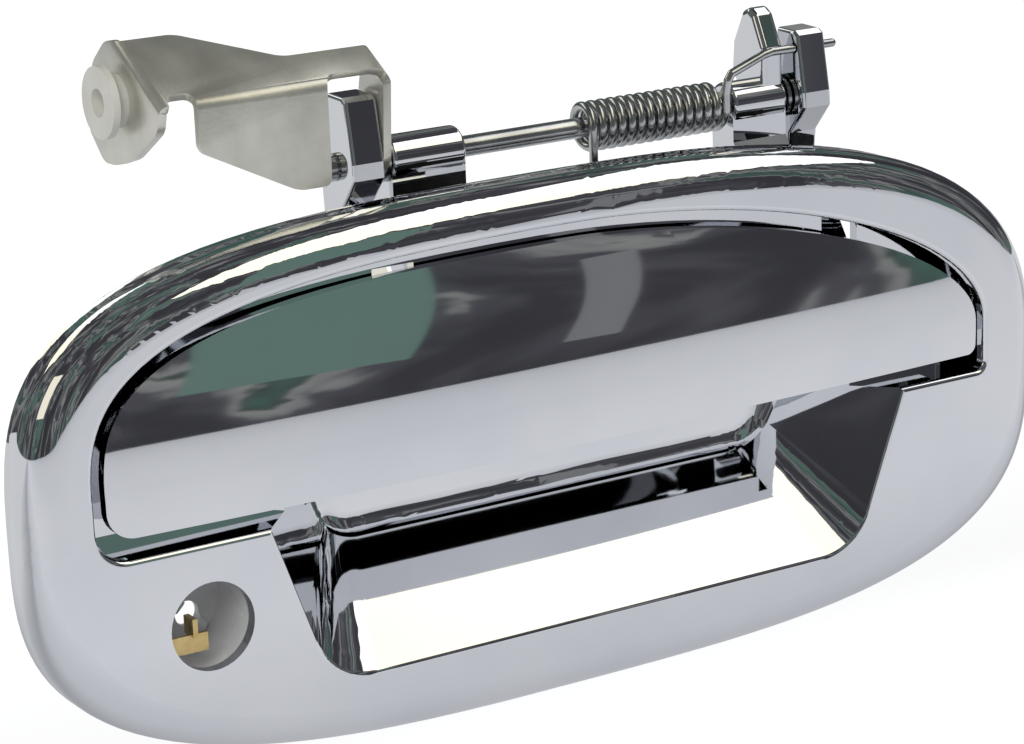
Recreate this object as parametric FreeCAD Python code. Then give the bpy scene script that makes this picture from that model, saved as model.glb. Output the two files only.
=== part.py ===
import FreeCAD, Part
import math
import os

# Exterior car door handle: a chrome-plated oval bezel with a finger cup, a half-moon lift
# paddle that swings on a rod behind the bezel's top edge, its return spring, and the stamped
# lever that pulls the latch rod.
# Millimetres. X runs along the handle, Z is up, and the outside of the door is -Y.
# The origin is the centre of the bezel on the door skin's outer face, which is the plane Y = 0.

Vector = FreeCAD.Vector
ALONG_X = Vector(1, 0, 0)
ALONG_Y = Vector(0, 1, 0)
ALONG_Z = Vector(0, 0, 1)

# ---- bezel -------------------------------------------------------------------------------
BEZEL_HALF_LENGTH = 113.0
BEZEL_TOP = 51.0                 # centre to the top edge
BEZEL_BOTTOM = 49.5              # centre to the bottom edge
BEZEL_FULLNESS = {"top_left": 3.4, "top_right": 2.7, "bottom_left": 3.0, "bottom_right": 3.2}
BEZEL_PROUD = 11.5               # how far the face stands out of the door skin
RIM_RADIUS = 7.0
WALL = 2.4                       # casting wall
GASKET_THICKNESS = 1.0
GASKET_INSET = 1.5
GASKET_WIDTH = 4.5
BACK_PLATE = 2.2

OUTLINE_STEPS = 14               # points in each quarter of an oval
RIM_SECTIONS = 7                 # sections through the rim's rounding

# ---- the opening that the paddle fills ---------------------------------------------------
OPENING_HALF_LENGTH = 99.2
OPENING_CENTRE_X = -1.6
OPENING_TOP = 42.6
OPENING_SPRING_LINE = 8.0        # height where the end curves start
OPENING_BOTTOM = -3.0
OPENING_CORNERS = {"left": 6.0, "right": 2.0}
OPENING_FULLNESS = {"left": 2.95, "right": 1.87}
LIP_RADIUS = 1.1

# ---- paddle ------------------------------------------------------------------------------
PADDLE_GAP_SIDE = 2.2
PADDLE_GAP_TOP = 4.2
PADDLE_GAP_BOTTOM = 3.8
PADDLE_CORNERS = {"left": 5.5, "right": 2.0}
PADDLE_WALL = 2.2
PADDLE_PROUD = 2.2               # the paddle's crest in front of the bezel's face
PADDLE_CREST_HEIGHT = 7.2        # height of the most forward line
PADDLE_ARC_RADIUS = 73.0         # upright curve of the face
PADDLE_BOW_RADIUS = 1900.0       # lengthwise curve of the face
GRIP_DEPTH = 7.0                 # turned-in lower edge that the fingers pull
GRIP_HALF_LENGTH = 62.0
GRIP_CENTRE_X = 4.0

# ---- finger cup --------------------------------------------------------------------------
CUP_TOP_LEFT_X = -71.3
CUP_TOP_RIGHT_X = 81.0
CUP_BOTTOM_LEFT_X = -56.5
CUP_BOTTOM_RIGHT_X = 64.5
CUP_TOP_Z = 8.0
CUP_BOTTOM_Z = -34.6
CUP_DEPTH = 20.5                 # face to back wall
CUP_END_SLOPE = 17.0             # how far each end wall leans in over the depth
CUP_FLOOR_RISE = 21.5            # how far the floor climbs over the depth
CUP_CORNER = 13.0
CUP_BACK_CORNER = 8.0
CUP_WALL = 2.0
CUP_FILLET = 6.5
CUP_FILLET_SHARE = 0.32          # the fillet takes no more than this share of the cup's depth
PAD_STEP = 1.2                   # raised middle of the cup's back wall
PAD_START_X = -46.0
PAD_END_X = 37.0

# ---- lock --------------------------------------------------------------------------------
LOCK_X = -79.8
LOCK_Z = -18.4
LOCK_BORE_RADIUS = 8.25
GUIDE_ROOM = 1.8                 # the guide's bore is this much wider than the face's
GUIDE_WALL = 1.6
GUIDE_DEPTH = 17.0
GUIDE_CLEARANCE = 0.2
GUIDE_TAIL_RADIUS = 2.4
GUIDE_RIB_RADIUS = 1.4
CLIP_THICKNESS = 0.8
CLIP_LENGTH = 9.0
CLIP_WIDTH = 3.4
SEAL_THICKNESS = 1.0
SEAL_WIDTH = 1.0

# ---- hinge -------------------------------------------------------------------------------
PIVOT_Y = 10.0
PIVOT_Z = 55.3
ROD_RADIUS = 2.0
ROD_HEAD_RADIUS = 2.6
ROD_HEAD_THICKNESS = 1.6
RUNNING_CLEARANCE = 0.05
BUSHING_WALL = 0.7
LUG_RADIUS = 4.4
LEFT_LUG = (-28.8, -13.0)
RIGHT_LUG = (48.6, 61.4)
LUG_EDGE_RADIUS = 0.8
EAR_EDGE_RADIUS = 1.2
EAR = (56.4, 61.4)
ARM_WIDTH = 6.8
ARM_EDGE_RADIUS = 0.7
ARM_FILLET_START = 10.0          # the arm's edges are rounded from this far below the bezel's top
SIDE_PLAY = 0.4
WASHER_THICKNESS = 0.8
WASHER_RADIUS = 4.2
RETAINER_THICKNESS = 0.9
RETAINER_RADIUS = 4.0
ARM_SLOT_CLEARANCE = 1.6
ARM_SLOT_TOP = 38.6
ARM_NECK_TOP = 25.5              # top of the arm where it passes the back plate

# ---- torsion spring ----------------------------------------------------------------------
SPRING_WIRE_RADIUS = 0.85
SPRING_MEAN_RADIUS = 4.1
SPRING_LEFT_X = 14.4
SPRING_TURNS = 14
SPRING_LEG_BEND = 5.6            # the moving leg turns aside this far above the rod
SPRING_LEG_Y = PIVOT_Y - 4.4     # the moving leg lies through the right arm's head
SPRING_LEG_Z = PIVOT_Z + 10.0
SPRING_LEG_OVERHANG = 2.6
SPRING_FOOT_Z = 33.0             # the fixed leg's end, against the back plate

# ---- latch lever -------------------------------------------------------------------------
LEVER_SHEET = 1.6
LEVER_LEFT_X = -77.0
LEVER_FRONT_Y = 2.4
LEVER_BEND_Z = 72.4
LEVER_SLOPE_DEG = 32.0
LEVER_DEPTH_LEFT = 15.6
LEVER_DEPTH_RIGHT = 7.4
LEVER_TAPER = (-66.0, -48.5)     # the rear edge runs in between these two stations
LEVER_NOTCH = (-75.2, -69.6)
LEVER_NOTCH_DEPTH = 2.2
FLANGE_DROP_LEFT = 9.0
FLANGE_DROP_RIGHT = 18.6
FLANGE_TAPER_END_X = -50.4
LEVER_WALL_GAP = 0.4             # lever wall to paddle arm
LEVER_CORNER = 2.4

# ---- latch rod bushing -------------------------------------------------------------------
BUSHING_FLANGE_RADIUS = 6.6
BUSHING_FLANGE = 1.4
BUSHING_COLLAR_RADIUS = 4.4
BUSHING_COLLAR = 1.2
BUSHING_NECK = 2.4               # gap between the disc and the tab, where the rod clip sits
BUSHING_BORE_RADIUS = 2.6
BUSHING_FACE_RADIUS = 4.9
BUSHING_Y = 19.4
BUSHING_Z = 71.4

# ---- studs and bumpers -------------------------------------------------------------------
STUD_RADIUS = 3.0
STUD_ROOT_RADIUS = 3.6           # the knurled root that is cast into the boss
STUD_LENGTH = 24.0
STUD_CHAMFER = 0.6
STUD_X = 92.0
STUD_Z = 0.0
STUD_BOSS_RADIUS = 6.0
STUD_SKIN = 0.8                  # casting left in front of the stud's seat
BUMPER_RADIUS = 3.0
BUMPER_X = 84.0
BUMPER_Z = 9.0
BUMPER_GAP = 0.3

# ---- worked out from the sizes above -----------------------------------------------------
FACE_Y = -BEZEL_PROUD
BEZEL_REAR_Y = -GASKET_THICKNESS
FACE_BACK_Y = FACE_Y + WALL
PLATE_FRONT_Y = BEZEL_REAR_Y - BACK_PLATE
CUP_BACK_Y = FACE_Y + CUP_DEPTH
GUIDE_RADIUS = LOCK_BORE_RADIUS + GUIDE_ROOM
GUIDE_OUTER_RADIUS = GUIDE_RADIUS + GUIDE_WALL
PADDLE_CREST_Y = FACE_Y - PADDLE_PROUD
RIGHT_ARM_X = RIGHT_LUG[1] + WASHER_THICKNESS + 2 * SIDE_PLAY
LEVER_WALL_X = LEFT_LUG[0] - WASHER_THICKNESS - 2 * SIDE_PLAY
LEFT_ARM_END_X = LEVER_WALL_X - LEVER_SHEET - LEVER_WALL_GAP
LEFT_ARM_X = LEFT_ARM_END_X - ARM_WIDTH
ROD_HEAD_X = LEFT_ARM_X - SIDE_PLAY
ROD_END_X = RIGHT_ARM_X + ARM_WIDTH + SIDE_PLAY + RETAINER_THICKNESS + 1.2
SPRING_PITCH = (RIGHT_LUG[0] - SPRING_LEFT_X - 2 * SPRING_WIRE_RADIUS - 1.2) / SPRING_TURNS
LEVER_SLOPE = math.radians(LEVER_SLOPE_DEG)


# ---- helpers -----------------------------------------------------------------------------
def save(name, shape):
    """One sub-part, one STEP file."""
    if not shape.isValid():
        raise ValueError(name + " is not a valid solid")
    shape.exportStep("parts/" + name + ".step")
    print(name, len(shape.Solids), round(shape.Volume, 1))


def box(x0, x1, y0, y1, z0, z1):
    return Part.makeBox(x1 - x0, y1 - y0, z1 - z0, Vector(x0, y0, z0))


def x_cylinder(radius, x0, x1, y=PIVOT_Y, z=PIVOT_Z):
    return Part.makeCylinder(radius, x1 - x0, Vector(x0, y, z), ALONG_X)


def y_cylinder(radius, y0, y1, x, z):
    return Part.makeCylinder(radius, y1 - y0, Vector(x, y0, z), ALONG_Y)


def x_prism(corners, x0, x1):
    """A profile of (y, z) corners, pushed from x0 to x1."""
    points = [Vector(x0, y, z) for y, z in corners]
    face = Part.Face(Part.makePolygon(points + points[:1]))
    return face.extrude(Vector(x1 - x0, 0, 0))


def superellipse(half_length, height, fullness, steps, left):
    """Points of one quarter, from its end point to its top point."""
    points = []
    for step in range(steps + 1):
        angle = math.pi / 2 * step / steps
        x = half_length * math.cos(angle) ** (2 / fullness)
        z = height * math.sin(angle) ** (2 / fullness)
        points.append((-x if left else x, z))
    return points


def bezel_outline(inset, y):
    """The closed oval, moved inwards by inset, as a wire of four quarters in the plane Y = y."""
    length = BEZEL_HALF_LENGTH - inset
    top = BEZEL_TOP - inset
    bottom = BEZEL_BOTTOM - inset
    steps = OUTLINE_STEPS
    top_right = superellipse(length, top, BEZEL_FULLNESS["top_right"], steps, False)
    top_left = superellipse(length, top, BEZEL_FULLNESS["top_left"], steps, True)
    low_left = superellipse(length, bottom, BEZEL_FULLNESS["bottom_left"], steps, True)
    low_right = superellipse(length, bottom, BEZEL_FULLNESS["bottom_right"], steps, False)
    loop = top_right + top_left[-2::-1]
    loop += [(x, -z) for x, z in low_left[1:]]
    loop += [(x, -z) for x, z in low_right[-2:0:-1]]
    curve = Part.BSplineCurve()
    curve.interpolate(Points=[Vector(x, y, z) for x, z in loop], PeriodicFlag=True)
    ends = [curve.parameter(Vector(x, y, z)) for x, z in loop[::steps]]
    ends[0] = curve.FirstParameter
    ends.append(curve.LastParameter)
    return Part.Wire([curve.toShape(start, end) for start, end in zip(ends, ends[1:])])


def corner_arc(x, z, radius, inwards, y):
    """A lower corner's arc, with its upper end and its foot."""
    middle = radius * (1 - math.sqrt(0.5))
    upper = Vector(x, y, z + radius)
    foot = Vector(x + inwards * radius, y, z)
    arc = Part.Arc(upper, Vector(x + inwards * middle, y, z + middle), foot)
    return arc.toShape(), upper, foot


def half_moon(half_length, top, bottom, corners, y):
    """The paddle's outline: an arched top on short upright ends and a straight lower edge."""
    height = top - OPENING_SPRING_LINE
    right = superellipse(half_length, height, OPENING_FULLNESS["right"], OUTLINE_STEPS, False)
    left = superellipse(half_length, height, OPENING_FULLNESS["left"], OUTLINE_STEPS, True)
    arch = [(OPENING_CENTRE_X + x, OPENING_SPRING_LINE + z) for x, z in right + left[-2::-1]]
    curve = Part.BSplineCurve()
    curve.interpolate(Points=[Vector(x, y, z) for x, z in arch])
    x0 = OPENING_CENTRE_X - half_length
    x1 = OPENING_CENTRE_X + half_length
    left_arc, left_end, left_foot = corner_arc(x0, bottom, corners["left"], 1, y)
    right_arc, right_end, right_foot = corner_arc(x1, bottom, corners["right"], -1, y)
    edges = [curve.toShape(),
             Part.makeLine(Vector(x0, y, OPENING_SPRING_LINE), left_end),
             left_arc,
             Part.makeLine(left_foot, right_foot),
             right_arc,
             Part.makeLine(right_end, Vector(x1, y, OPENING_SPRING_LINE))]
    return Part.Wire(edges)


def push(wire, distance):
    return Part.Face(wire).extrude(Vector(0, distance, 0))


def rounded_quad(corners, radii, y):
    """Four (x, z) corners joined by straight sides and rounded by one radius each."""
    edges = []
    count = len(corners)
    tangents = []
    for index in range(count):
        here = Vector(corners[index][0], y, corners[index][1])
        before = Vector(corners[index - 1][0], y, corners[index - 1][1])
        after = Vector(corners[(index + 1) % count][0], y, corners[(index + 1) % count][1])
        back = (before - here).normalize()
        ahead = (after - here).normalize()
        half = back.getAngle(ahead) / 2
        reach = radii[index] / math.tan(half)
        bisector = (back + ahead).normalize()
        centre = here + bisector * (radii[index] / math.sin(half))
        middle = centre - bisector * radii[index]
        tangents.append((here + back * reach, middle, here + ahead * reach))
    for index in range(count):
        enter, middle, leave = tangents[index]
        edges.append(Part.Arc(enter, middle, leave).toShape())
        edges.append(Part.makeLine(leave, tangents[(index + 1) % count][0]))
    return Part.Wire(edges)


# ---- bezel housing -----------------------------------------------------------------------
def cup_block(grow):
    """The finger cup's space, tapering from the face to its back wall."""
    back_y = CUP_BACK_Y + grow
    lean = CUP_END_SLOPE
    front_corners = [(CUP_TOP_LEFT_X - grow, CUP_TOP_Z + grow),
                     (CUP_BOTTOM_LEFT_X - grow, CUP_BOTTOM_Z - grow),
                     (CUP_BOTTOM_RIGHT_X + grow, CUP_BOTTOM_Z - grow),
                     (CUP_TOP_RIGHT_X + grow, CUP_TOP_Z + grow)]
    back_bottom = CUP_BOTTOM_Z + CUP_FLOOR_RISE - grow
    back_corners = [(CUP_TOP_LEFT_X + lean - grow, CUP_TOP_Z + grow),
                    (CUP_BOTTOM_LEFT_X + lean - 5 - grow, back_bottom),
                    (CUP_BOTTOM_RIGHT_X - lean + 5 + grow, back_bottom),
                    (CUP_TOP_RIGHT_X - lean + grow, CUP_TOP_Z + grow)]
    small = CUP_BACK_CORNER + grow
    large = CUP_CORNER + grow
    front = rounded_quad(front_corners, [small, large, large, small], FACE_Y - 0.01)
    back = rounded_quad(back_corners, [small, small, small, small], back_y)
    block = Part.makeLoft([front, back], True, True)
    rim = [edge for edge in block.Edges
           if abs(edge.BoundBox.YMin - back_y) < 0.01 and abs(edge.BoundBox.YMax - back_y) < 0.01]
    fillet = min(CUP_FILLET, CUP_FILLET_SHARE * CUP_DEPTH) + grow
    return block.makeFillet(fillet, rim)


def lug(x_range):
    """A barrel for the rod on a web that grows out of the back plate."""
    x0, x1 = x_range
    front_y = PIVOT_Y - LUG_RADIUS * 0.8
    back_y = PIVOT_Y + LUG_RADIUS * 0.8
    root_y = PLATE_FRONT_Y + BACK_PLATE / 2
    web = x_prism([(front_y, PIVOT_Z), (front_y, PIVOT_Z - 7.0), (0.3, PIVOT_Z - 18.0),
                   (root_y, PIVOT_Z - 21.5), (root_y, PIVOT_Z - 33.0), (0.3, PIVOT_Z - 33.0),
                   (back_y, PIVOT_Z - 13.0), (back_y, PIVOT_Z)], x0, x1)
    barrel = x_cylinder(LUG_RADIUS, x0, x1)
    return barrel.makeFillet(LUG_EDGE_RADIUS, [barrel.Edges[0], barrel.Edges[2]]).fuse(web)


def ear():
    """The rounded stop plate that stands on the right lug."""
    y = PIVOT_Y
    z = PIVOT_Z
    profile = [(y - 3.2, z), (y - 3.2, z + 10.6), (y - 0.2, z + 16.9), (y + 1.8, z + 18.2),
               (y + 3.9, z + 17.3), (y + 7.2, z + 11.0), (y + 7.8, z + 5.0), (y + 3.0, z - 3.0)]
    plate = x_prism(profile, EAR[0], EAR[1])
    return plate.makeFillet(EAR_EDGE_RADIUS, plate.Edges)


def oval_block(inset, rear_y, front_y, radius):
    """The oval dome from rear_y to front_y, with its front edge rounded as a quarter circle."""
    sections = [bezel_outline(inset, rear_y)]
    for step in range(RIM_SECTIONS):
        angle = math.pi / 2 * step / (RIM_SECTIONS - 1)
        sections.append(bezel_outline(inset + radius * (1 - math.cos(angle)),
                                      front_y + radius * (1 - math.sin(angle))))
    return Part.makeLoft(sections, True, False)


def bezel_face():
    """The domed oval shell with its opening, cup mouth and lock hole, and rounded lips."""
    shell = oval_block(0.0, BEZEL_REAR_Y, FACE_Y, RIM_RADIUS)
    shell = shell.cut(oval_block(WALL, BEZEL_REAR_Y + 1.0, FACE_BACK_Y, RIM_RADIUS - WALL))
    opening = half_moon(OPENING_HALF_LENGTH, OPENING_TOP, OPENING_BOTTOM, OPENING_CORNERS, FACE_Y - 1)
    mouth = push(opening, 1 + WALL + 0.5)
    cup = cup_block(0.0).common(box(-BEZEL_HALF_LENGTH, BEZEL_HALF_LENGTH, FACE_Y - 1, FACE_BACK_Y + 0.5,
                                    -BEZEL_BOTTOM, BEZEL_TOP))
    shell = shell.cut(mouth.fuse(cup).removeSplitter())
    shell = round_lip(shell.Solids[0])
    return shell.cut(y_cylinder(LOCK_BORE_RADIUS, FACE_Y - 1, FACE_BACK_Y + 1, LOCK_X, LOCK_Z))


def bezel_housing():
    shell = bezel_face()
    plate = push(bezel_outline(WALL / 2, PLATE_FRONT_Y), BACK_PLATE)
    shell = shell.fuse(plate.cut(cup_block(0.0)))
    behind_lip = FACE_Y + LIP_RADIUS + 0.1
    ledge_x0 = OPENING_CENTRE_X - OPENING_HALF_LENGTH
    ledge_x1 = OPENING_CENTRE_X + OPENING_HALF_LENGTH
    ledge = box(ledge_x0, ledge_x1, behind_lip, PLATE_FRONT_Y + 0.5,
                OPENING_BOTTOM - CUP_WALL, OPENING_BOTTOM)
    shell = shell.fuse(ledge.cut(cup_block(0.0)))
    pocket = box(-BEZEL_HALF_LENGTH, BEZEL_HALF_LENGTH, FACE_Y - 1, PLATE_FRONT_Y,
                 OPENING_BOTTOM, BEZEL_TOP)
    front_cut = box(-BEZEL_HALF_LENGTH, BEZEL_HALF_LENGTH, FACE_Y - 1, behind_lip, -BEZEL_BOTTOM, BEZEL_TOP)
    tub = cup_block(CUP_WALL).cut(cup_block(0.0)).cut(pocket).cut(front_cut)
    shell = shell.fuse(tub)
    pad = box(PAD_START_X, PAD_END_X, CUP_BACK_Y - PAD_STEP, CUP_BACK_Y + 0.5,
              CUP_BOTTOM_Z + CUP_FLOOR_RISE + CUP_FILLET, CUP_TOP_Z)
    shell = shell.fuse(pad)
    shell = shell.fuse(lug(LEFT_LUG)).fuse(lug(RIGHT_LUG)).fuse(ear())
    for side in (-1, 1):
        shell = shell.fuse(y_cylinder(STUD_BOSS_RADIUS, PLATE_FRONT_Y, 0.0, side * STUD_X, STUD_Z))
        shell = shell.cut(y_cylinder(STUD_ROOT_RADIUS, PLATE_FRONT_Y + STUD_SKIN, 1.0, side * STUD_X, STUD_Z))
    for arm_x in (LEFT_ARM_X, RIGHT_ARM_X):
        shell = shell.cut(box(arm_x - SIDE_PLAY, arm_x + ARM_WIDTH + ARM_SLOT_CLEARANCE,
                              PLATE_FRONT_Y - 1, BEZEL_REAR_Y + 1, CUP_TOP_Z + CUP_WALL, ARM_SLOT_TOP))
    shell = shell.cut(y_cylinder(GUIDE_OUTER_RADIUS + GUIDE_CLEARANCE, PLATE_FRONT_Y - 1,
                                 BEZEL_REAR_Y + 1, LOCK_X, LOCK_Z))
    bore = ROD_RADIUS + BUSHING_WALL
    shell = shell.cut(x_cylinder(bore, LEFT_LUG[0] - 1, LEFT_LUG[1] + 1))
    shell = shell.cut(x_cylinder(bore, RIGHT_LUG[0] - 1, RIGHT_LUG[1] + 1))
    return shell.removeSplitter()


def round_lip(shell):
    """Rounds the edge where the opening and the cup break the face."""
    lip = [edge for edge in shell.Edges
           if abs(edge.BoundBox.YMin - FACE_Y) < 0.01 and abs(edge.BoundBox.YMax - FACE_Y) < 0.01
           and inside_rim(edge)]
    return shell.makeFillet(LIP_RADIUS, lip)


def inside_rim(edge):
    """True for an edge of the opening, false for the line where the rim's rounding starts."""
    point = edge.valueAt((edge.FirstParameter + edge.LastParameter) / 2)
    half_length = BEZEL_HALF_LENGTH - RIM_RADIUS
    side = "right" if point.x > 0 else "left"
    fullness = BEZEL_FULLNESS[("top_" if point.z > 0 else "bottom_") + side]
    height = (BEZEL_TOP if point.z > 0 else BEZEL_BOTTOM) - RIM_RADIUS
    return abs(point.x / half_length) ** fullness + abs(point.z / height) ** fullness < 0.97


def gasket():
    outer = push(bezel_outline(GASKET_INSET, BEZEL_REAR_Y), GASKET_THICKNESS)
    inner = push(bezel_outline(GASKET_INSET + GASKET_WIDTH, BEZEL_REAR_Y - 1), GASKET_THICKNESS + 2)
    return outer.cut(inner)


# ---- paddle ------------------------------------------------------------------------------
def paddle_face_y(x, z):
    """The paddle's outer surface."""
    rise = z - PADDLE_CREST_HEIGHT
    upright = PADDLE_ARC_RADIUS - math.sqrt(PADDLE_ARC_RADIUS ** 2 - rise ** 2)
    lengthwise = PADDLE_BOW_RADIUS - math.sqrt(PADDLE_BOW_RADIUS ** 2 - x ** 2)
    return PADDLE_CREST_Y + upright + lengthwise


def paddle_arc(radius, z0, z1):
    """An upright arc of the paddle's face, from z0 to z1, in the plane X = 0."""
    centre = Vector(0, PADDLE_CREST_Y + PADDLE_ARC_RADIUS, PADDLE_CREST_HEIGHT)
    points = []
    for z in (z0, (z0 + z1) / 2, z1):
        rise = z - PADDLE_CREST_HEIGHT
        points.append(centre + Vector(0, -math.sqrt(radius ** 2 - rise ** 2), rise))
    return Part.Arc(*points).toShape(), points[0], points[2]


def paddle_skin():
    z0 = OPENING_BOTTOM - 4
    z1 = OPENING_TOP + 4
    outer, outer_low, outer_high = paddle_arc(PADDLE_ARC_RADIUS, z0, z1)
    inner, inner_low, inner_high = paddle_arc(PADDLE_ARC_RADIUS - PADDLE_WALL, z0, z1)
    section = Part.Face(Part.Wire([outer, Part.makeLine(outer_high, inner_high), inner,
                                   Part.makeLine(inner_low, outer_low)]))
    axis_point = Vector(0, PADDLE_CREST_Y + PADDLE_BOW_RADIUS, 0)
    sweep = math.degrees(1.2 * BEZEL_HALF_LENGTH / PADDLE_BOW_RADIUS)
    section.rotate(axis_point, ALONG_Z, -sweep)
    sheet = section.revolve(axis_point, ALONG_Z, 2 * sweep)
    outline = half_moon(OPENING_HALF_LENGTH - PADDLE_GAP_SIDE, OPENING_TOP - PADDLE_GAP_TOP,
                        OPENING_BOTTOM + PADDLE_GAP_BOTTOM, PADDLE_CORNERS, PADDLE_CREST_Y - 5)
    return sheet.common(push(outline, 30))


def arm_profile():
    """The side view of a paddle arm: foot on the paddle, neck through the slot, head at the rod."""
    y = PIVOT_Y
    z = PIVOT_Z
    return [(paddle_face_y(RIGHT_ARM_X, 12.0) + PADDLE_WALL / 2, 12.0),
            (paddle_face_y(RIGHT_ARM_X, 22.0) + PADDLE_WALL / 2, 22.0),
            (PLATE_FRONT_Y, ARM_NECK_TOP), (y - 3.8, z - 15.3), (y - 2.2, z - 12.0),
            (y - 2.8, z - 7.2), (y - 7.6, z - 1.6), (y - 7.4, z + 1.4), (y - 5.4, z + 12.6),
            (y - 4.2, z + 13.4), (y + 1.0, z + 13.6), (y + 3.6, z + 8.0), (y + 5.2, z),
            (y + 4.6, z - 8.0), (y + 2.0, z - 18.0), (y - 4.0, z - 28.0),
            (PLATE_FRONT_Y, CUP_TOP_Z + CUP_WALL + 3.0)]


def paddle():
    body = paddle_skin()
    grip_z = OPENING_BOTTOM + PADDLE_GAP_BOTTOM
    front = paddle_face_y(GRIP_HALF_LENGTH, grip_z) + 0.6
    body = body.fuse(box(GRIP_CENTRE_X - GRIP_HALF_LENGTH, GRIP_CENTRE_X + GRIP_HALF_LENGTH,
                         front, PADDLE_CREST_Y + GRIP_DEPTH, grip_z, grip_z + PADDLE_WALL))
    for arm_x in (LEFT_ARM_X, RIGHT_ARM_X):
        arm = x_prism(arm_profile(), arm_x, arm_x + ARM_WIDTH)
        outline = [edge for edge in arm.Edges if edge.BoundBox.XLength < 0.01]
        above_plate = [edge for edge in outline if edge.BoundBox.ZMin > BEZEL_TOP - ARM_FILLET_START]
        body = body.fuse(arm.makeFillet(ARM_EDGE_RADIUS, above_plate))
    body = body.cut(x_cylinder(ROD_RADIUS + RUNNING_CLEARANCE, LEFT_ARM_X - 1, RIGHT_ARM_X + ARM_WIDTH + 1))
    leg = x_cylinder(SPRING_WIRE_RADIUS + 0.25, RIGHT_ARM_X - 1, RIGHT_ARM_X + ARM_WIDTH + 1,
                     SPRING_LEG_Y, SPRING_LEG_Z)
    return body.cut(leg)


# ---- hinge pieces ------------------------------------------------------------------------
def pivot_rod():
    rod = x_cylinder(ROD_RADIUS, ROD_HEAD_X - 0.1, ROD_END_X)
    head = x_cylinder(ROD_HEAD_RADIUS, ROD_HEAD_X - ROD_HEAD_THICKNESS, ROD_HEAD_X)
    head = head.makeFillet(0.6, [edge for edge in head.Edges
                                 if edge.BoundBox.XMax < ROD_HEAD_X - ROD_HEAD_THICKNESS / 2])
    return rod.fuse(head)


def rod_bushing(x_range):
    sleeve = x_cylinder(ROD_RADIUS + BUSHING_WALL, x_range[0], x_range[1])
    return sleeve.cut(x_cylinder(ROD_RADIUS, x_range[0] - 1, x_range[1] + 1))


def ring(radius, bore, x0, x1):
    return x_cylinder(radius, x0, x1).cut(x_cylinder(bore, x0 - 1, x1 + 1))


def bent_wire(points, radius):
    """Round wire along straight runs, with a ball at each bend and end."""
    wire = Part.makeSphere(radius, points[0])
    for near, far in zip(points, points[1:]):
        run = far - near
        wire = wire.fuse(Part.makeCylinder(radius, run.Length, near, run))
        wire = wire.fuse(Part.makeSphere(radius, far))
    return wire


def torsion_spring():
    """A left-hand coil round the rod: one leg drops to the back plate, the other crosses the arm."""
    helix = Part.makeHelix(SPRING_PITCH, SPRING_PITCH * SPRING_TURNS, SPRING_MEAN_RADIUS)
    section = Part.Wire(Part.makeCircle(SPRING_WIRE_RADIUS, Vector(SPRING_MEAN_RADIUS, 0, 0), ALONG_Y))
    left_hand = Part.Wire(helix.mirror(Vector(0, 0, 0), ALONG_Y).Edges)
    coil = left_hand.makePipeShell([section], True, True)
    coil.rotate(Vector(0, 0, 0), ALONG_Y, 90)
    coil.rotate(Vector(0, 0, 0), ALONG_X, -90)
    first_x = SPRING_LEFT_X + SPRING_WIRE_RADIUS
    last_x = first_x + SPRING_PITCH * SPRING_TURNS
    coil.translate(Vector(first_x, PIVOT_Y, PIVOT_Z))
    front_y = PIVOT_Y - SPRING_MEAN_RADIUS
    arm_end = RIGHT_ARM_X + ARM_WIDTH + SPRING_LEG_OVERHANG
    fixed_leg = bent_wire([Vector(first_x, front_y, PIVOT_Z), Vector(first_x, front_y, PIVOT_Z - 8),
                           Vector(first_x, BEZEL_REAR_Y + SPRING_WIRE_RADIUS + 0.1, SPRING_FOOT_Z)],
                          SPRING_WIRE_RADIUS)
    moving_leg = bent_wire([Vector(last_x, front_y, PIVOT_Z), Vector(last_x, front_y, PIVOT_Z + 3),
                            Vector(last_x + 0.3, SPRING_LEG_Y, PIVOT_Z + SPRING_LEG_BEND),
                            Vector(last_x + 1.2, SPRING_LEG_Y, PIVOT_Z + SPRING_LEG_BEND + 1.3),
                            Vector(EAR[0] - 1.0, SPRING_LEG_Y, SPRING_LEG_Z - 0.4),
                            Vector(EAR[0] + 1.0, SPRING_LEG_Y, SPRING_LEG_Z),
                            Vector(arm_end, SPRING_LEG_Y, SPRING_LEG_Z)], SPRING_WIRE_RADIUS)
    return coil.fuse(fixed_leg).fuse(moving_leg)


# ---- latch lever -------------------------------------------------------------------------
def sheet_slab(corners):
    """The sloping top plate from (x, y) corners: its upper face climbs towards the back."""
    slope = math.tan(LEVER_SLOPE)
    points = [Vector(x, y, LEVER_BEND_Z + (y - LEVER_FRONT_Y) * slope) for x, y in corners]
    face = Part.Face(Part.makePolygon(points + points[:1]))
    down = Vector(0, math.sin(LEVER_SLOPE), -math.cos(LEVER_SLOPE))
    return face.extrude(down * LEVER_SHEET)


def lever_top_z(y):
    return LEVER_BEND_Z + (y - LEVER_FRONT_Y) * math.tan(LEVER_SLOPE) - LEVER_SHEET / 2


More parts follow.
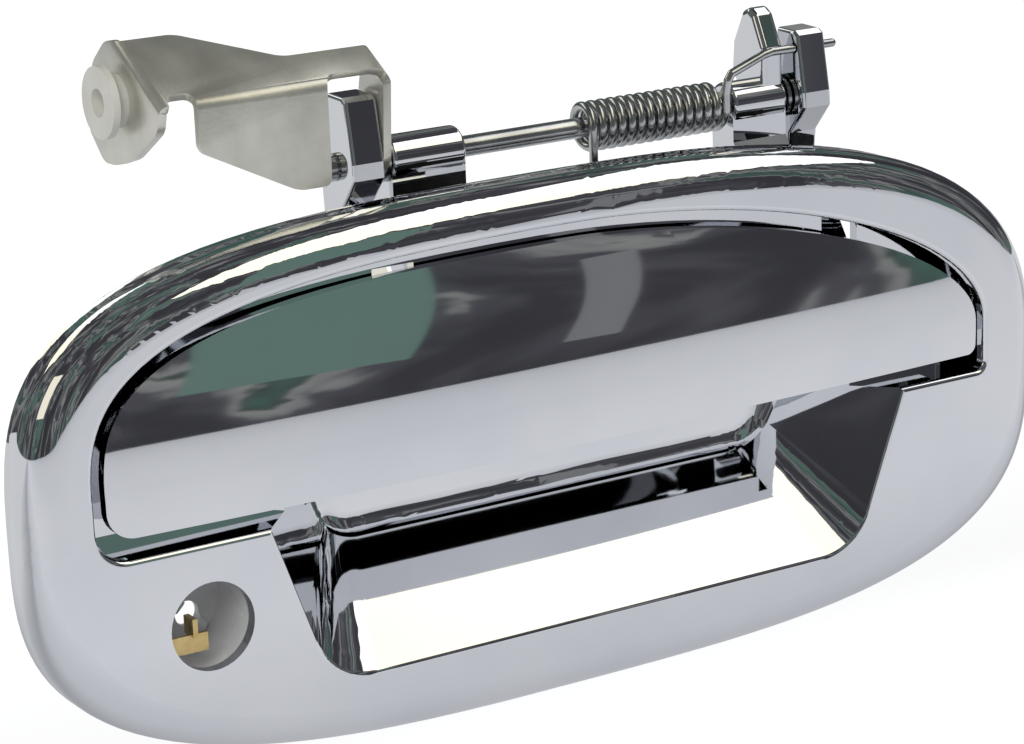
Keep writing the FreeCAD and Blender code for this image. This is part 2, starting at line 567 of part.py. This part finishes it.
def latch_lever():
    front = LEVER_FRONT_Y
    rear_left = front + LEVER_DEPTH_LEFT
    rear_right = front + LEVER_DEPTH_RIGHT
    right_x = LEVER_WALL_X
    top = sheet_slab([(LEVER_LEFT_X, front), (LEVER_NOTCH[0], front),
                      (LEVER_NOTCH[0], front + LEVER_NOTCH_DEPTH),
                      (LEVER_NOTCH[1], front + LEVER_NOTCH_DEPTH), (LEVER_NOTCH[1], front),
                      (right_x, front), (right_x, rear_right), (LEVER_TAPER[1], rear_right),
                      (LEVER_TAPER[0], rear_left), (LEVER_LEFT_X, rear_left)])
    inner_x = ROD_HEAD_X - ROD_HEAD_THICKNESS - LEVER_WALL_GAP
    flange_points = [(LEVER_NOTCH[1], LEVER_BEND_Z - 0.4), (LEVER_NOTCH[1], LEVER_BEND_Z - FLANGE_DROP_LEFT),
                     (FLANGE_TAPER_END_X, LEVER_BEND_Z - FLANGE_DROP_RIGHT),
                     (inner_x, LEVER_BEND_Z - FLANGE_DROP_RIGHT), (inner_x, LEVER_BEND_Z - 0.4)]
    points = [Vector(x, front, z) for x, z in flange_points]
    flange = Part.Face(Part.makePolygon(points + points[:1])).extrude(Vector(0, LEVER_SHEET, 0))
    lever = top.fuse(flange)
    left_wall_low = PIVOT_Z + ROD_HEAD_RADIUS + LEVER_WALL_GAP
    lever = lever.fuse(x_prism([(front, left_wall_low), (front, lever_top_z(front)),
                                (rear_right, lever_top_z(rear_right)), (rear_right, left_wall_low + 4)],
                               inner_x - LEVER_SHEET, inner_x))
    ear_radius = ROD_RADIUS + LEVER_CORNER
    right_wall = x_prism([(front, PIVOT_Z + 0.6), (front, lever_top_z(front)),
                          (rear_right, lever_top_z(rear_right)), (PIVOT_Y + ear_radius, PIVOT_Z + 6),
                          (PIVOT_Y + ear_radius, PIVOT_Z), (PIVOT_Y, PIVOT_Z - ear_radius)],
                         right_x - LEVER_SHEET, right_x)
    lever = lever.fuse(right_wall).fuse(x_cylinder(ear_radius, right_x - LEVER_SHEET, right_x))
    lever = lever.fuse(lever_tab())
    lever = lever.cut(x_cylinder(ROD_RADIUS + RUNNING_CLEARANCE, right_x - LEVER_SHEET - 1, right_x + 1))
    lever = lever.cut(x_cylinder(BUSHING_COLLAR_RADIUS, LEVER_LEFT_X - 1,
                                 LEVER_LEFT_X + LEVER_SHEET + 1, BUSHING_Y, BUSHING_Z))
    return lever.removeSplitter()


def lever_tab():
    """The folded-down end that carries the latch rod's bushing."""
    front = LEVER_FRONT_Y
    z = LEVER_BEND_Z
    rear = front + LEVER_DEPTH_LEFT
    profile = [(front, z - 0.4), (rear, lever_top_z(rear)), (rear + 7.4, lever_top_z(rear) - 1.5),
               (rear + 12.0, z + 4.8), (rear + 14.4, z - 8.3), (rear + 7.8, z - 13.2),
               (rear + 3.5, z - 12.9), (rear - 3.0, z - 11.2), (front + 2.5, z - 6.0)]
    return x_prism(profile, LEVER_LEFT_X, LEVER_LEFT_X + LEVER_SHEET)


def latch_rod_bushing():
    """Nylon: an outer disc on a neck, a snap collar behind the tab, and a flared bore."""
    x = LEVER_LEFT_X
    neck_x = x - BUSHING_NECK
    shape = x_cylinder(BUSHING_FLANGE_RADIUS, neck_x - BUSHING_FLANGE, neck_x, BUSHING_Y, BUSHING_Z)
    shape = shape.fuse(x_cylinder(BUSHING_FACE_RADIUS, neck_x, x, BUSHING_Y, BUSHING_Z))
    shape = shape.fuse(x_cylinder(BUSHING_COLLAR_RADIUS, x, x + LEVER_SHEET, BUSHING_Y, BUSHING_Z))
    inner_x = x + LEVER_SHEET
    shape = shape.fuse(x_cylinder(BUSHING_FACE_RADIUS, inner_x, inner_x + BUSHING_COLLAR,
                                  BUSHING_Y, BUSHING_Z))
    return shape.cut(x_cylinder(BUSHING_BORE_RADIUS, x - 20, x + 20, BUSHING_Y, BUSHING_Z)).removeSplitter()


# ---- lock pieces -------------------------------------------------------------------------
def lock_guide():
    """A moulded cup behind the lock hole, with a rib across its floor and a tail hole."""
    back_y = FACE_BACK_Y + GUIDE_DEPTH
    guide = y_cylinder(GUIDE_OUTER_RADIUS, FACE_BACK_Y, back_y, LOCK_X, LOCK_Z)
    guide = guide.cut(y_cylinder(GUIDE_RADIUS, FACE_BACK_Y - 1, back_y - GUIDE_WALL, LOCK_X, LOCK_Z))
    reach = GUIDE_RADIUS * 0.9
    diagonal = Vector(-math.sqrt(0.5), 0, math.sqrt(0.5))
    start = Vector(LOCK_X, back_y - GUIDE_WALL, LOCK_Z) - diagonal * reach
    rib = Part.makeCylinder(GUIDE_RIB_RADIUS, 2 * reach, start, diagonal)
    guide = guide.fuse(rib)
    return guide.cut(y_cylinder(GUIDE_TAIL_RADIUS, back_y - 6, back_y + 2, LOCK_X + 3.4, LOCK_Z - 3.4))


def lock_clip():
    """A brass spring clip that grips the lock barrel, low on the left of the guide."""
    y0 = FACE_BACK_Y + SEAL_THICKNESS + 1.0
    x0 = LOCK_X - GUIDE_RADIUS * 0.80
    z0 = LOCK_Z - GUIDE_RADIUS * 0.58
    blade = box(x0, x0 + CLIP_LENGTH, y0, y0 + CLIP_THICKNESS, z0, z0 + CLIP_WIDTH)
    finger = box(x0, x0 + CLIP_THICKNESS, y0, y0 + CLIP_LENGTH, z0, z0 + CLIP_WIDTH)
    prong = box(x0 + CLIP_LENGTH - 3.2, x0 + CLIP_LENGTH - 2.2, y0 - 0.6, y0 + 3.0,
                z0 + CLIP_WIDTH - 0.4, z0 + CLIP_WIDTH + 3.0)
    clip = blade.fuse(finger).fuse(prong)
    return clip.common(y_cylinder(GUIDE_RADIUS, y0 - 2, y0 + CLIP_LENGTH + 2, LOCK_X, LOCK_Z))


def lock_seal():
    outer = y_cylinder(GUIDE_RADIUS, FACE_BACK_Y, FACE_BACK_Y + SEAL_THICKNESS, LOCK_X, LOCK_Z)
    return outer.cut(y_cylinder(GUIDE_RADIUS - SEAL_WIDTH, FACE_BACK_Y - 1, 0, LOCK_X, LOCK_Z))


# ---- fasteners and stops -----------------------------------------------------------------
def mounting_stud(side):
    root = y_cylinder(STUD_ROOT_RADIUS, PLATE_FRONT_Y + STUD_SKIN, 0.0, side * STUD_X, STUD_Z)
    stud = y_cylinder(STUD_RADIUS, 0.0, STUD_LENGTH, side * STUD_X, STUD_Z)
    tip = [edge for edge in stud.Edges if edge.BoundBox.YMin > STUD_LENGTH - 0.01]
    return root.fuse(stud.makeChamfer(STUD_CHAMFER, tip))


def bumper(side):
    x = side * BUMPER_X
    back = paddle_face_y(BUMPER_X, BUMPER_Z) + PADDLE_WALL + BUMPER_GAP
    pad = y_cylinder(BUMPER_RADIUS, back, PLATE_FRONT_Y, x, BUMPER_Z)
    return pad.makeFillet(0.8, [edge for edge in pad.Edges if edge.BoundBox.YMax < back + 0.01])


def left_washer_x():
    return LEFT_LUG[0] - SIDE_PLAY - WASHER_THICKNESS


# ---- the sub-parts -----------------------------------------------------------------------
os.makedirs("parts", exist_ok=True)
save("bezel_housing", bezel_housing())
save("paddle", paddle())
save("pivot_rod", pivot_rod())
save("rod_bushing_left", rod_bushing(LEFT_LUG))
save("rod_bushing_right", rod_bushing(RIGHT_LUG))
save("thrust_washer_left", ring(WASHER_RADIUS, ROD_RADIUS, left_washer_x(),
                                left_washer_x() + WASHER_THICKNESS))
save("thrust_washer_right", ring(WASHER_RADIUS, ROD_RADIUS, RIGHT_LUG[1] + SIDE_PLAY,
                                 RIGHT_LUG[1] + SIDE_PLAY + WASHER_THICKNESS))
save("rod_retainer", ring(RETAINER_RADIUS, ROD_RADIUS, ROD_END_X - RETAINER_THICKNESS - 1.2, ROD_END_X - 1.2))
save("torsion_spring", torsion_spring())
save("latch_lever", latch_lever())
save("latch_rod_bushing", latch_rod_bushing())
save("lock_guide", lock_guide())
save("lock_clip", lock_clip())
save("lock_seal", lock_seal())
save("foam_gasket", gasket())
for side_name, side in (("left", -1), ("right", 1)):
    save("mounting_stud_" + side_name, mounting_stud(side))
    save("paddle_bumper_" + side_name, bumper(side))
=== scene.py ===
import bpy
import bmesh
import math
from mathutils import Matrix, Vector


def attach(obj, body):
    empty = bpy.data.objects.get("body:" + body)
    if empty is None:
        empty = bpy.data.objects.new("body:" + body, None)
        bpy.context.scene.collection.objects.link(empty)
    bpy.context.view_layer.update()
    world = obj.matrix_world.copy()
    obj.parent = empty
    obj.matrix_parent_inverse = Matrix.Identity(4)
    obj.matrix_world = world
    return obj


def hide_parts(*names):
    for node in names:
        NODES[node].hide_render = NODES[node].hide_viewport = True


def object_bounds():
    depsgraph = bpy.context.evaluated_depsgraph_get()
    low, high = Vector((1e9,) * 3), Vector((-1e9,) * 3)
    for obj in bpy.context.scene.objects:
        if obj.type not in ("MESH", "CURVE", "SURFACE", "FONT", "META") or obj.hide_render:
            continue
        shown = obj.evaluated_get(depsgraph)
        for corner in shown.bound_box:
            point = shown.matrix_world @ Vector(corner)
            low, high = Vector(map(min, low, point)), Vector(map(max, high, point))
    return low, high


# The looks of an exterior car door handle: polished chrome, plated steel and white nylon,
# on a pale floor under soft studio light. Metres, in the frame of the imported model.

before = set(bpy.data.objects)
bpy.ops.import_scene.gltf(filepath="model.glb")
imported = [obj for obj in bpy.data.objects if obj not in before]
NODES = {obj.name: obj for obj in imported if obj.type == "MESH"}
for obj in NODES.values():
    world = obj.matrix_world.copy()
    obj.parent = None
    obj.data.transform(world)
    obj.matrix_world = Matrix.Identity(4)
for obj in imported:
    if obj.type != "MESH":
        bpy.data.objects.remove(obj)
CAD_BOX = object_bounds()
MM = 0.001

# ---- camera ------------------------------------------------------------------------------
CAMERA_PLACE = Vector((-314.89, -494.61, 174.31)) * MM
CAMERA_RIGHT = Vector((0.84421731, -0.5347496, -0.036606))
CAMERA_DOWN = Vector((-0.17278263, -0.2068533, -0.96299422))
CAMERA_AHEAD = Vector((0.5073887, 0.81930128, -0.26702458))
LENS_MM = 112.5
SENSOR_MM = 36.0


def make_camera():
    data = bpy.data.cameras.new("camera")
    data.lens = LENS_MM
    data.sensor_width = SENSOR_MM
    data.clip_start = 0.01
    camera = bpy.data.objects.new("camera", data)
    bpy.context.scene.collection.objects.link(camera)
    axes = Matrix((CAMERA_RIGHT, -CAMERA_DOWN, -CAMERA_AHEAD)).transposed().to_4x4()
    camera.matrix_world = Matrix.Translation(CAMERA_PLACE) @ axes
    bpy.context.scene.camera = camera


# ---- studio ------------------------------------------------------------------------------
FLOOR_Z = CAD_BOX[0][2] - 0.0005
FLOOR_FRONT_Y = -1.5
FLOOR_BACK_Y = 2.4
FLOOR_HALF_WIDTH = 2.4
FLOOR_ROUGHNESS = 0.9
FLOOR_GLOW = 0.82
REFLECTED_FRONT_Y = -1.9         # from the floor's middle to where its reflected shading starts
REFLECTED_NEAR_Y = -0.35         # and to where it ends, close to the object
# painted light and shade in the reflected floor's glow: dimmer towards the front, brightest just in front of
# the object and darkest in a narrow band right under it
REFLECTED_PAINTED_SHADES = [
    (0.0, (0.46, 0.47, 0.49)), (0.78, (0.66, 0.67, 0.70)), (0.88, (0.74, 0.75, 0.78)),
    (0.925, (0.60, 0.61, 0.64)), (0.94, (0.40, 0.41, 0.43)), (1.0, (0.70, 0.71, 0.72)),
]
ROOM_STRETCH = (2.2, 2.2, 0.7)
ROOM_STREAK_SCALE = 2.4
ROOM_SHADES = [
    (0.0, (0.020, 0.020, 0.024)), (0.42, (0.048, 0.048, 0.055)), (0.50, (0.080, 0.080, 0.090)),
    (0.52, (0.20, 0.20, 0.20)), (0.55, (0.26, 0.26, 0.25)), (0.56, (0.05, 0.07, 0.065)),
    (0.64, (0.08, 0.16, 0.13)), (1.0, (0.35, 0.34, 0.30)),
]
CENTRE = (0, 0, 0)
WHITE = (1.0, 0.99, 0.97)
CREAM = (0.98, 0.92, 0.74)
OVERHEAD = Vector((0.507, -0.306, 0.805)) * 0.9
OVERHEAD_LENGTH = 1.15
OVERHEAD_WIDTH = 0.40
OVERHEAD_GLOW = 1.6
LEFT_GLOW = 1.1
REAR_GLOW = 1.4
FILL_SIZE = 0.8
FILL_WATTS = 9
CARD_TILT = 1.35                 # turns a card upright


def link(obj):
    bpy.context.scene.collection.objects.link(obj)
    return obj


def area_light(name, place, target, width, height, watts, colour):
    data = bpy.data.lights.new(name, "AREA")
    data.shape = "RECTANGLE"
    data.size = width
    data.size_y = height
    data.energy = watts
    data.color = colour
    obj = link(bpy.data.objects.new(name, data))
    obj.location = place
    obj.rotation_euler = (Vector(target) - Vector(place)).to_track_quat("-Z", "Y").to_euler()
    return obj


def flat_panel(name, width, depth, mat):
    """A rectangle in its own XY plane that takes no part in the object."""
    x, y = width / 2, depth / 2
    mesh = bpy.data.meshes.new(name)
    mesh.from_pydata([(-x, -y, 0), (x, -y, 0), (x, y, 0), (-x, y, 0)], [], [(0, 1, 2, 3)])
    mesh.materials.append(mat)
    panel = link(bpy.data.objects.new(name, mesh))
    return panel


def light_panel(name, place, target, width, depth, strength, left, right):
    """A glowing softbox, its colour running from left to right."""
    mat, shader = new_material(name)
    shader.inputs["Base Color"].default_value = (0, 0, 0, 1)
    shader.inputs["Emission Strength"].default_value = strength
    place_node = node(mat, "ShaderNodeTexCoord")
    split = node(mat, "ShaderNodeSeparateXYZ")
    wire(mat, place_node.outputs["Generated"], split.inputs[0])
    ramp = colour_ramp(mat, [(0.40, left), (0.60, right)])
    wire(mat, split.outputs["X"], ramp.inputs["Fac"])
    wire(mat, ramp.outputs["Color"], shader.inputs["Emission Color"])
    panel = flat_panel(name, width, depth, mat)
    aim = (Vector(target) - Vector(place)).to_track_quat("-Z", "Y")
    panel.location = place
    panel.rotation_euler = aim.to_euler()
    return panel


def reflected_card(name, place, target, width, height, brightness, colour):
    """A coloured card that only the chrome sees."""
    card = light_panel(name, place, target, height, width, brightness, colour, colour)
    card.rotation_euler.rotate_axis("Z", CARD_TILT)
    card.visible_camera = False
    card.visible_diffuse = False
    card.visible_shadow = False


def make_floor():
    """The white floor that the camera sees, and the greyer one that the chrome reflects, whose glow carries
    painted light and shade.
    """
    white, white_shader = new_material("studio_floor")
    white_shader.inputs["Base Color"].default_value = (0.30, 0.30, 0.30, 1)
    white_shader.inputs["Roughness"].default_value = FLOOR_ROUGHNESS
    white_shader.inputs["Emission Color"].default_value = (1, 1, 1, 1)
    white_shader.inputs["Emission Strength"].default_value = FLOOR_GLOW
    mat, shader = new_material("reflected_floor")
    shader.inputs["Base Color"].default_value = (0.02, 0.02, 0.02, 1)
    shader.inputs["Roughness"].default_value = FLOOR_ROUGHNESS
    shader.inputs["Emission Strength"].default_value = 1.0
    place = node(mat, "ShaderNodeTexCoord")
    split = node(mat, "ShaderNodeSeparateXYZ")
    wire(mat, place.outputs["Object"], split.inputs[0])
    spread = node(mat, "ShaderNodeMapRange")
    spread.inputs["From Min"].default_value = REFLECTED_FRONT_Y
    spread.inputs["From Max"].default_value = REFLECTED_NEAR_Y
    wire(mat, split.outputs["Y"], spread.inputs["Value"])
    # the reflected floor's painted light and shade, set by how far along the floor a point lies
    ramp = colour_ramp(mat, REFLECTED_PAINTED_SHADES)
    wire(mat, spread.outputs["Result"], ramp.inputs["Fac"])
    wire(mat, ramp.outputs["Color"], shader.inputs["Emission Color"])
    for name, finish, seen in (("floor", white, True), ("floor_reflected", mat, False)):
        floor = flat_panel(name, 2 * FLOOR_HALF_WIDTH, FLOOR_BACK_Y - FLOOR_FRONT_Y, finish)
        floor.location = (0, (FLOOR_FRONT_Y + FLOOR_BACK_Y) / 2, FLOOR_Z)
        floor.visible_camera = seen
        floor.visible_glossy = not seen
        floor.visible_diffuse = not seen


def make_world():
    """A dim room with a few paler upright streaks, seen only in the reflections."""
    world = bpy.data.worlds.new("studio")
    world.use_nodes = True
    bpy.context.scene.world = world
    background = world.node_tree.nodes["Background"]
    place = node(world, "ShaderNodeTexCoord")
    mapping = node(world, "ShaderNodeMapping")
    mapping.inputs["Scale"].default_value = ROOM_STRETCH
    wire(world, place.outputs["Generated"], mapping.inputs["Vector"])
    streaks = node(world, "ShaderNodeTexNoise")
    streaks.inputs["Scale"].default_value = ROOM_STREAK_SCALE
    streaks.inputs["Detail"].default_value = 4.0
    streaks.inputs["Distortion"].default_value = 0.8
    wire(world, mapping.outputs["Vector"], streaks.inputs["Vector"])
    ramp = colour_ramp(world, ROOM_SHADES)
    wire(world, streaks.outputs["Fac"], ramp.inputs["Fac"])
    wire(world, ramp.outputs["Color"], background.inputs["Color"])


def make_studio():
    make_world()
    make_floor()
    light_panel("overhead_softbox", OVERHEAD, CENTRE, OVERHEAD_LENGTH, OVERHEAD_WIDTH,
                OVERHEAD_GLOW, CREAM, WHITE)
    light_panel("left_softbox", (-0.95, -0.25, 0.55), CENTRE, 0.35, 0.5, LEFT_GLOW, CREAM, CREAM)
    fill = area_light("fill", (-0.9, -0.9, 0.9), (0, 0, 0.02), FILL_SIZE, FILL_SIZE, FILL_WATTS, WHITE)
    fill.visible_glossy = False
    light_panel("rear_softbox", (-0.35, 0.75, 0.75), CENTRE, 0.8, 0.35, REAR_GLOW, WHITE, CREAM)
    reflected_card("green_card", (0.195, -0.524, 0.25), (-0.045, -0.014, 0.03), 0.12, 0.30,
                   0.9, (0.12, 0.20, 0.17))
    reflected_card("pale_card", (0.342, -0.506, 0.17), (0.018, -0.014, 0.03), 0.03, 0.24,
                   0.6, (0.30, 0.30, 0.31))
    bpy.context.scene.view_settings.view_transform = "Standard"


# ---- materials ---------------------------------------------------------------------------
def new_material(name):
    mat = bpy.data.materials.new(name)
    mat.use_nodes = True
    return mat, mat.node_tree.nodes["Principled BSDF"]


def node(mat, kind):
    return mat.node_tree.nodes.new(kind)


def wire(mat, output, socket):
    mat.node_tree.links.new(output, socket)


def colour_ramp(mat, stops):
    ramp = node(mat, "ShaderNodeValToRGB")
    ramp.color_ramp.elements[0].position = stops[0][0]
    ramp.color_ramp.elements[0].color = (*stops[0][1], 1)
    ramp.color_ramp.elements[1].position = stops[-1][0]
    ramp.color_ramp.elements[1].color = (*stops[-1][1], 1)
    for place, colour in stops[1:-1]:
        ramp.color_ramp.elements.new(place).color = (*colour, 1)
    return ramp


def noise(mat, scale, detail=3.0, stretch=(1, 1, 1)):
    place = node(mat, "ShaderNodeTexCoord")
    mapping = node(mat, "ShaderNodeMapping")
    mapping.inputs["Scale"].default_value = stretch
    texture = node(mat, "ShaderNodeTexNoise")
    texture.inputs["Scale"].default_value = scale
    texture.inputs["Detail"].default_value = detail
    wire(mat, place.outputs["Object"], mapping.inputs["Vector"])
    wire(mat, mapping.outputs["Vector"], texture.inputs["Vector"])
    return texture


def surface(name, dark, light, metal, rough, scale, grain, grain_mm, stretch=(1, 1, 1)):
    """A material whose colour, roughness and fine relief all vary a little over the piece."""
    mat, shader = new_material(name)
    shader.inputs["Metallic"].default_value = metal
    blotches = noise(mat, scale)
    tint = colour_ramp(mat, [(0.35, dark), (0.65, light)])
    wire(mat, blotches.outputs["Fac"], tint.inputs["Fac"])
    wire(mat, tint.outputs["Color"], shader.inputs["Base Color"])
    spread = node(mat, "ShaderNodeMapRange")
    spread.inputs["To Min"].default_value = rough[0]
    spread.inputs["To Max"].default_value = rough[1]
    wire(mat, blotches.outputs["Fac"], spread.inputs["Value"])
    wire(mat, spread.outputs["Result"], shader.inputs["Roughness"])
    fine = noise(mat, grain, 2.0, stretch)
    bump = node(mat, "ShaderNodeBump")
    bump.inputs["Strength"].default_value = 1.0
    bump.inputs["Distance"].default_value = grain_mm * MM
    wire(mat, fine.outputs["Fac"], bump.inputs["Height"])
    wire(mat, bump.outputs["Normal"], shader.inputs["Normal"])
    return mat


def make_materials():
    made = {}
    made["chrome"] = surface("chrome", (0.74, 0.75, 0.78), (0.79, 0.80, 0.82), 1.0, (0.02, 0.05),
                             30, 60, 0.006)
    made["zinc"] = surface("zinc", (0.62, 0.61, 0.55), (0.80, 0.79, 0.72), 0.72, (0.24, 0.42), 90, 1400, 0.03)
    made["steel"] = surface("steel", (0.42, 0.43, 0.44), (0.62, 0.63, 0.63), 1.0, (0.14, 0.28), 90, 500, 0.01,
                            (0.1, 1, 1))
    made["nylon"] = surface("nylon", (0.80, 0.79, 0.73), (0.88, 0.87, 0.82), 0.0, (0.35, 0.5), 120, 600, 0.01)
    made["grey_plastic"] = surface("grey_plastic", (0.80, 0.81, 0.82), (0.92, 0.92, 0.93), 0.0, (0.2, 0.35),
                                   90, 700, 0.02)
    made["brass"] = surface("brass", (0.60, 0.44, 0.18), (0.80, 0.64, 0.32), 1.0, (0.2, 0.35), 200, 800, 0.01)
    made["rubber"] = surface("rubber", (0.010, 0.010, 0.011), (0.025, 0.025, 0.026), 0.0, (0.6, 0.8),
                             200, 900, 0.02)
    made["foam"] = surface("foam", (0.012, 0.012, 0.013), (0.030, 0.030, 0.031), 0.0, (0.8, 0.95),
                           300, 1500, 0.10)
    return made


NODE_MATERIALS = {
    "bezel_housing": "chrome", "paddle": "chrome", "pivot_rod": "steel", "rod_bushing_left": "nylon",
    "rod_bushing_right": "nylon", "thrust_washer_left": "steel", "thrust_washer_right": "steel",
    "rod_retainer": "zinc", "torsion_spring": "steel", "latch_lever": "zinc",
    "latch_rod_bushing": "nylon", "lock_guide": "grey_plastic", "lock_clip": "brass",
    "lock_seal": "rubber", "foam_gasket": "foam", "mounting_stud_left": "zinc",
    "mounting_stud_right": "zinc", "paddle_bumper_left": "rubber", "paddle_bumper_right": "rubber",
}


# ---- mesh helpers ------------------------------------------------------------------------
def mesh_piece(name, built, mat, body):
    """A finished bmesh as a piece that rides on a body."""
    mesh = bpy.data.meshes.new(name)
    built.to_mesh(mesh)
    built.free()
    mesh.materials.append(mat)
    piece = link(bpy.data.objects.new(name, mesh))
    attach(piece, body)
    return piece


def smooth(piece, degrees):
    """Shades smooth, except across edges sharper than this."""
    for polygon in piece.data.polygons:
        polygon.use_smooth = True
    piece.data.set_sharp_from_angle(angle=math.radians(degrees))


def add_bevel(piece, width, segments, degrees):
    bevel = piece.modifiers.new("rounding", "BEVEL")
    bevel.width = width * MM
    bevel.segments = segments
    bevel.limit_method = "ANGLE"
    bevel.angle_limit = math.radians(degrees)
    bevel.harden_normals = False


def add_faces(built, outlines):
    """Flat faces from lists of (x, y, z) corners in millimetres, joined where corners meet."""
    for outline in outlines:
        built.faces.new([built.verts.new(Vector(corner) * MM) for corner in outline])
    bmesh.ops.remove_doubles(built, verts=built.verts, dist=0.01 * MM)
    bmesh.ops.recalc_face_normals(built, faces=built.faces)


def round_corners(built, radius, keep):
    """Rounds the cut corners of a sheet, apart from those that keep() holds back."""
    corners = [v for v in built.verts if v.is_boundary and len(v.link_faces) == 1 and not keep(v.co / MM)]
    bmesh.ops.bevel(built, geom=corners, offset=radius * MM, segments=5, profile=0.5, affect="VERTICES")


def fold_edges(built, radius):
    """Turns the sharp folds of a sheet into bends."""
    folds = [edge for edge in built.edges if len(edge.link_faces) == 2]
    bmesh.ops.bevel(built, geom=folds, offset=radius * MM, segments=6, profile=0.5, affect="EDGES")


# ---- latch lever -------------------------------------------------------------------------
LEVER_SHEET = 1.6
LEVER_FRONT_Y = 2.4
LEVER_BEND_Z = 72.4
LEVER_SLOPE = math.tan(math.radians(32))
LEVER_LEFT_X = -77.0
LEVER_RIGHT_X = -30.4
LEVER_WINDOW_X = -43.6
LEVER_REAR_LEFT_Y = 18.0
LEVER_REAR_RIGHT_Y = 9.8
LEVER_BEND_RADIUS = 1.5
LEVER_CORNER_RADIUS = 1.5
LEVER_BURR = 0.3                 # rounding of the sheet's cut edges


def lever_top(x, y):
    return (x, y, LEVER_BEND_Z + (y - LEVER_FRONT_Y) * LEVER_SLOPE)


def latch_lever(materials):
    """The stamped lever: a sloping top, folded down at the front and at both ends."""
    front, left, right = LEVER_FRONT_Y, LEVER_LEFT_X, LEVER_RIGHT_X
    notch_left, notch_right, notch_back = -75.0, -69.6, 4.8
    window = LEVER_WINDOW_X
    rear = LEVER_REAR_LEFT_Y
    top = [lever_top(*place) for place in (
        (left, front), (notch_left, front), (notch_left + 0.4, notch_back), (notch_right, notch_back),
        (notch_right, front), (window, front), (window + 1.4, front + 2.2), (right - 2.0, front + 2.2),
        (right, front), (right, LEVER_REAR_RIGHT_Y), (-48.5, LEVER_REAR_RIGHT_Y), (-66.0, rear),
        (left, rear))]
    flange = [lever_top(notch_right, front), lever_top(window, front), (window, front, 53.8),
              (-50.4, front, 53.8), (notch_right, front, 63.4)]
    tab_top = lever_top(left, rear)
    tab = [lever_top(left, front), tab_top, (left, rear + 5.0, tab_top[2] - 0.4),
           (left, rear + 11.0, 77.0), (left, rear + 14.4, 64.6), (left, rear + 8.6, 59.0),
           (left, rear + 3.5, 59.2), (left, rear - 4.0, 61.4), (left, front + 1.4, 67.6)]
    wall = [lever_top(right, front), lever_top(right, LEVER_REAR_RIGHT_Y), (right, 13.8, 61.0),
            (right, 13.8, 54.0), (right, 11.4, 51.2), (right, 8.2, 51.6), (right, front + 1.4, 56.0)]
    built = bmesh.new()
    add_faces(built, [top, flange, tab, wall])
    round_corners(built, LEVER_CORNER_RADIUS, lambda co: co.y < front + 0.1 and co.z > LEVER_BEND_Z - 0.1)
    fold_edges(built, LEVER_BEND_RADIUS)
    piece = mesh_piece("latch_lever_sheet", built, materials["zinc"], "lever")
    thick = piece.modifiers.new("sheet", "SOLIDIFY")
    thick.thickness = LEVER_SHEET * MM
    thick.offset = -1.0
    thick.use_even_offset = True
    add_bevel(piece, LEVER_BURR, 3, 60)
    smooth(piece, 30)
    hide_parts("latch_lever")


materials = make_materials()
make_camera()
make_studio()
for node_name, material_name in NODE_MATERIALS.items():
    NODES[node_name].material_slots[0].material = materials[material_name]

latch_lever(materials)
